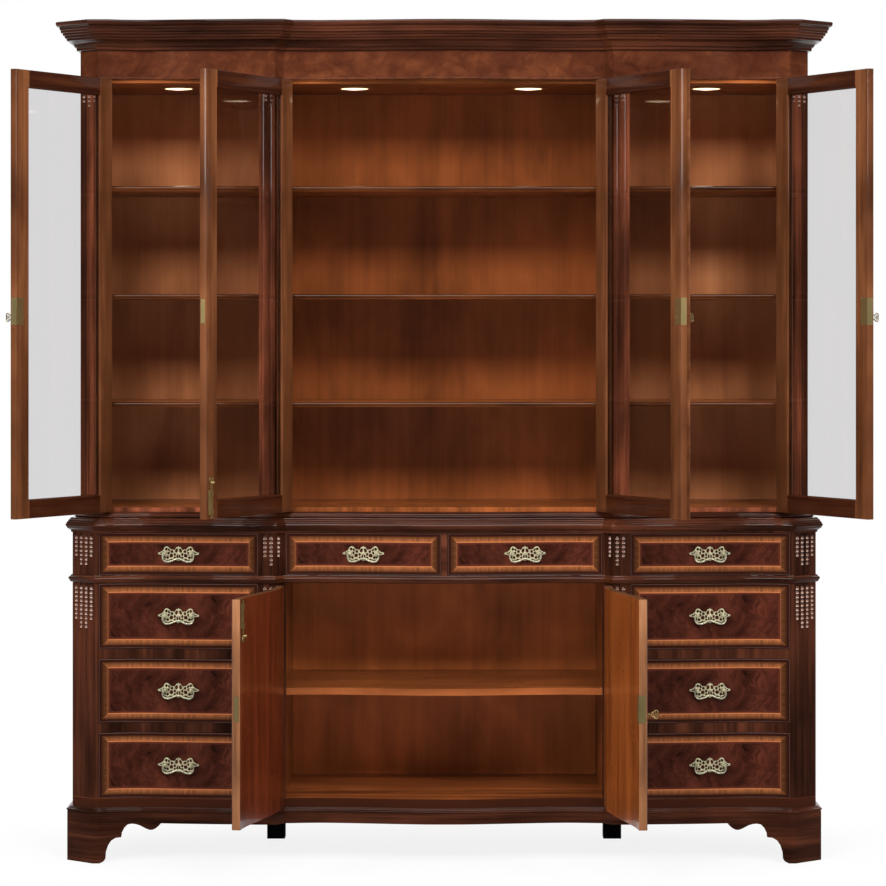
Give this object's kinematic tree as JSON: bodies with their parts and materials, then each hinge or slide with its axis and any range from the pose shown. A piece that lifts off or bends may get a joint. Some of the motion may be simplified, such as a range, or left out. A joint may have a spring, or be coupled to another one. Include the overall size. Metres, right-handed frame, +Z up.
{
  "type": "china cabinet",
  "caption": "Tall mahogany china cabinet: a glazed hutch with shelves on a serpentine base with drawers and a cupboard, its doors standing open.",
  "frame": {"origin": "on the floor, under the middle of the box around the cabinet with its doors open as stored", "axes": "+X to the viewer's right along the front, +Y from the front towards the back, +Z up; the doors and drawers face -Y"},
  "size_m": [2.4452, 1.0214, 2.44],
  "materials": {
    "mahogany": "polished red-brown mahogany",
    "dark_mahogany": "dark crotch mahogany with satinwood cross-banding, polished",
    "plain_brown_wood": "plain brown wood, satin",
    "antique_brass": "antique brass, lightly worn",
    "clear_glass": "clear window glass"
  },
  "bodies": {
    "cabinet": {"plinth_with_bracket_feet": "mahogany", "bottom_board": "mahogany", "base_side_left": "mahogany", "base_side_right": "mahogany", "base_partition_left": "mahogany", "base_partition_right": "mahogany", "base_back": "plain_brown_wood", "middle_rail": "mahogany", "base_top_with_waist_moulding": "mahogany", "cupboard_shelf": "plain_brown_wood", "hutch_case": "mahogany", "hutch_partition_left": "mahogany", "hutch_partition_right": "mahogany", "hutch_back": "plain_brown_wood", "cornice_with_frieze": "mahogany", "hutch_shelf_left_1": "mahogany", "hutch_shelf_left_2": "mahogany", "hutch_shelf_left_3": "mahogany", "hutch_shelf_middle_1": "mahogany", "hutch_shelf_middle_2": "mahogany", "hutch_shelf_middle_3": "mahogany", "hutch_shelf_right_1": "mahogany", "hutch_shelf_right_2": "mahogany", "hutch_shelf_right_3": "mahogany"},
    "top_drawer_left": {"top_drawer_left": "dark_mahogany"},
    "top_drawer_middle_left": {"top_drawer_middle_left": "dark_mahogany"},
    "top_drawer_middle_right": {"top_drawer_middle_right": "dark_mahogany"},
    "top_drawer_right": {"top_drawer_right": "dark_mahogany"},
    "upper_drawer_left": {"upper_drawer_left": "dark_mahogany"},
    "upper_drawer_right": {"upper_drawer_right": "dark_mahogany"},
    "middle_drawer_left": {"middle_drawer_left": "dark_mahogany"},
    "middle_drawer_right": {"middle_drawer_right": "dark_mahogany"},
    "bottom_drawer_left": {"bottom_drawer_left": "dark_mahogany"},
    "bottom_drawer_right": {"bottom_drawer_right": "dark_mahogany"},
    "top_drawer_left_bail": {"top_drawer_left_bail": "antique_brass"},
    "top_drawer_middle_left_bail": {"top_drawer_middle_left_bail": "antique_brass"},
    "top_drawer_middle_right_bail": {"top_drawer_middle_right_bail": "antique_brass"},
    "top_drawer_right_bail": {"top_drawer_right_bail": "antique_brass"},
    "upper_drawer_left_bail": {"upper_drawer_left_bail": "antique_brass"},
    "upper_drawer_right_bail": {"upper_drawer_right_bail": "antique_brass"},
    "middle_drawer_left_bail": {"middle_drawer_left_bail": "antique_brass"},
    "middle_drawer_right_bail": {"middle_drawer_right_bail": "antique_brass"},
    "bottom_drawer_left_bail": {"bottom_drawer_left_bail": "antique_brass"},
    "bottom_drawer_right_bail": {"bottom_drawer_right_bail": "antique_brass"},
    "hutch_door_far_left": {"hutch_door_far_left": "mahogany", "hutch_door_far_left_glass": "clear_glass"},
    "hutch_door_middle_left": {"hutch_door_middle_left": "mahogany", "hutch_door_middle_left_glass": "clear_glass"},
    "hutch_door_middle_right": {"hutch_door_middle_right": "mahogany", "hutch_door_middle_right_glass": "clear_glass"},
    "hutch_door_far_right": {"hutch_door_far_right": "mahogany", "hutch_door_far_right_glass": "clear_glass"},
    "cupboard_door_left": {"cupboard_door_left": "mahogany"},
    "cupboard_door_right": {"cupboard_door_right": "mahogany"},
    "hutch_door_far_left_key": {"hutch_door_far_left_key": "antique_brass"},
    "hutch_door_middle_right_key": {"hutch_door_middle_right_key": "antique_brass"},
    "hutch_door_far_right_key": {"hutch_door_far_right_key": "antique_brass"},
    "cupboard_door_right_key": {"cupboard_door_right_key": "antique_brass"},
    "hutch_door_middle_left_bolt": {"hutch_door_middle_left_bolt": "antique_brass"},
    "cupboard_door_left_bolt": {"cupboard_door_left_bolt": "antique_brass"}
  },
  "joints": [
    {"name": "top_drawer_left_slide", "type": "slide", "parent": "cabinet", "child": "top_drawer_left", "axis": [0, -1, 0], "range_m": [0, 0.36]},
    {"name": "top_drawer_middle_left_slide", "type": "slide", "parent": "cabinet", "child": "top_drawer_middle_left", "axis": [0, -1, 0], "range_m": [0, 0.36]},
    {"name": "top_drawer_middle_right_slide", "type": "slide", "parent": "cabinet", "child": "top_drawer_middle_right", "axis": [0, -1, 0], "range_m": [0, 0.36]},
    {"name": "top_drawer_right_slide", "type": "slide", "parent": "cabinet", "child": "top_drawer_right", "axis": [0, -1, 0], "range_m": [0, 0.36]},
    {"name": "upper_drawer_left_slide", "type": "slide", "parent": "cabinet", "child": "upper_drawer_left", "axis": [0, -1, 0], "range_m": [0, 0.27]},
    {"name": "upper_drawer_right_slide", "type": "slide", "parent": "cabinet", "child": "upper_drawer_right", "axis": [0, -1, 0], "range_m": [0, 0.27]},
    {"name": "middle_drawer_left_slide", "type": "slide", "parent": "cabinet", "child": "middle_drawer_left", "axis": [0, -1, 0], "range_m": [0, 0.27]},
    {"name": "middle_drawer_right_slide", "type": "slide", "parent": "cabinet", "child": "middle_drawer_right", "axis": [0, -1, 0], "range_m": [0, 0.27]},
    {"name": "bottom_drawer_left_slide", "type": "slide", "parent": "cabinet", "child": "bottom_drawer_left", "axis": [0, -1, 0], "range_m": [0, 0.27]},
    {"name": "bottom_drawer_right_slide", "type": "slide", "parent": "cabinet", "child": "bottom_drawer_right", "axis": [0, -1, 0], "range_m": [0, 0.27]},
    {"name": "top_drawer_left_bail_swing", "type": "hinge", "parent": "top_drawer_left", "child": "top_drawer_left_bail", "pos_m": [-0.76528, -0.02499, 0.89658], "axis": [-0.9929, 0.1192, 0], "range_deg": [0, 85]},
    {"name": "top_drawer_middle_left_bail_swing", "type": "hinge", "parent": "top_drawer_middle_left", "child": "top_drawer_middle_left_bail", "pos_m": [-0.22962, -0.02006, 0.89658], "axis": [-0.9918, 0.128, 0], "range_deg": [0, 85]},
    {"name": "top_drawer_middle_right_bail_swing", "type": "hinge", "parent": "top_drawer_middle_right", "child": "top_drawer_middle_right_bail", "pos_m": [0.24157, -0.02006, 0.89658], "axis": [-0.9918, -0.128, 0], "range_deg": [0, 85]},
    {"name": "top_drawer_right_bail_swing", "type": "hinge", "parent": "top_drawer_right", "child": "top_drawer_right_bail", "pos_m": [0.77722, -0.02499, 0.89658], "axis": [-0.9929, -0.1192, 0], "range_deg": [0, 85]},
    {"name": "upper_drawer_left_bail_swing", "type": "hinge", "parent": "upper_drawer_left", "child": "upper_drawer_left_bail", "pos_m": [-0.76528, -0.02499, 0.71683], "axis": [-0.9929, 0.1192, 0], "range_deg": [0, 85]},
    {"name": "upper_drawer_right_bail_swing", "type": "hinge", "parent": "upper_drawer_right", "child": "upper_drawer_right_bail", "pos_m": [0.77722, -0.02499, 0.71683], "axis": [-0.9929, -0.1192, 0], "range_deg": [0, 85]},
    {"name": "middle_drawer_left_bail_swing", "type": "hinge", "parent": "middle_drawer_left", "child": "middle_drawer_left_bail", "pos_m": [-0.76528, -0.02499, 0.50058], "axis": [-0.9929, 0.1192, 0], "range_deg": [0, 85]},
    {"name": "middle_drawer_right_bail_swing", "type": "hinge", "parent": "middle_drawer_right", "child": "middle_drawer_right_bail", "pos_m": [0.77722, -0.02499, 0.50058], "axis": [-0.9929, -0.1192, 0], "range_deg": [0, 85]},
    {"name": "bottom_drawer_left_bail_swing", "type": "hinge", "parent": "bottom_drawer_left", "child": "bottom_drawer_left_bail", "pos_m": [-0.76528, -0.02499, 0.28408], "axis": [-0.9929, 0.1192, 0], "range_deg": [0, 85]},
    {"name": "bottom_drawer_right_bail_swing", "type": "hinge", "parent": "bottom_drawer_right", "child": "bottom_drawer_right_bail", "pos_m": [0.77722, -0.02499, 0.28408], "axis": [-0.9929, -0.1192, 0], "range_deg": [0, 85]},
    {"name": "hutch_door_far_left_hinge", "type": "hinge", "parent": "cabinet", "child": "hutch_door_far_left", "pos_m": [-0.97528, 0.00777, 1.015], "axis": [0, 0, 1], "range_deg": [-8, 121]},
    {"name": "hutch_door_middle_left_hinge", "type": "hinge", "parent": "cabinet", "child": "hutch_door_middle_left", "pos_m": [-0.45278, 0.02368, 1.015], "axis": [0, 0, 1], "range_deg": [-8, 119]},
    {"name": "hutch_door_middle_right_hinge", "type": "hinge", "parent": "cabinet", "child": "hutch_door_middle_right", "pos_m": [0.46472, 0.02368, 1.015], "axis": [0, 0, -1], "range_deg": [-8, 118.5]},
    {"name": "hutch_door_far_right_hinge", "type": "hinge", "parent": "cabinet", "child": "hutch_door_far_right", "pos_m": [0.98722, 0.00777, 1.015], "axis": [0, 0, -1], "range_deg": [-8, 119]},
    {"name": "cupboard_door_left_hinge", "type": "hinge", "parent": "cabinet", "child": "cupboard_door_left", "pos_m": [-0.4776, -0.03048, 0.1695], "axis": [0, 0, 1], "range_deg": [-8, 98.8]},
    {"name": "cupboard_door_right_hinge", "type": "hinge", "parent": "cabinet", "child": "cupboard_door_right", "pos_m": [0.48955, -0.03048, 0.1695], "axis": [0, 0, -1], "range_deg": [-8, 95.7]},
    {"name": "hutch_door_far_left_key_turn", "type": "hinge", "parent": "hutch_door_far_left", "child": "hutch_door_far_left_key", "pos_m": [-1.1894, -0.3486, 1.578], "axis": [-0.8572, 0.515, 0], "range_deg": [0, 90]},
    {"name": "hutch_door_middle_right_key_turn", "type": "hinge", "parent": "hutch_door_middle_right", "child": "hutch_door_middle_right_key", "pos_m": [0.67086, -0.35597, 1.578], "axis": [0.8788, 0.4772, 0], "range_deg": [0, 90]},
    {"name": "hutch_door_far_right_key_turn", "type": "hinge", "parent": "hutch_door_far_right", "child": "hutch_door_far_right_key", "pos_m": [1.18878, -0.35585, 1.578], "axis": [0.8746, 0.4848, 0], "range_deg": [0, 90]},
    {"name": "cupboard_door_right_key_turn", "type": "hinge", "parent": "cupboard_door_right", "child": "cupboard_door_right_key", "pos_m": [0.55908, -0.48264, 0.4845], "axis": [0.9951, 0.0993, 0], "range_deg": [0, 90]},
    {"name": "hutch_door_middle_left_bolt_slide", "type": "slide", "parent": "hutch_door_middle_left", "child": "hutch_door_middle_left_bolt", "axis": [0, 0, 1], "range_m": [-0.012, 0]},
    {"name": "cupboard_door_left_bolt_slide", "type": "slide", "parent": "cupboard_door_left", "child": "cupboard_door_left_bolt", "axis": [0, 0, -1], "range_m": [-0.012, 0]}
  ]
}
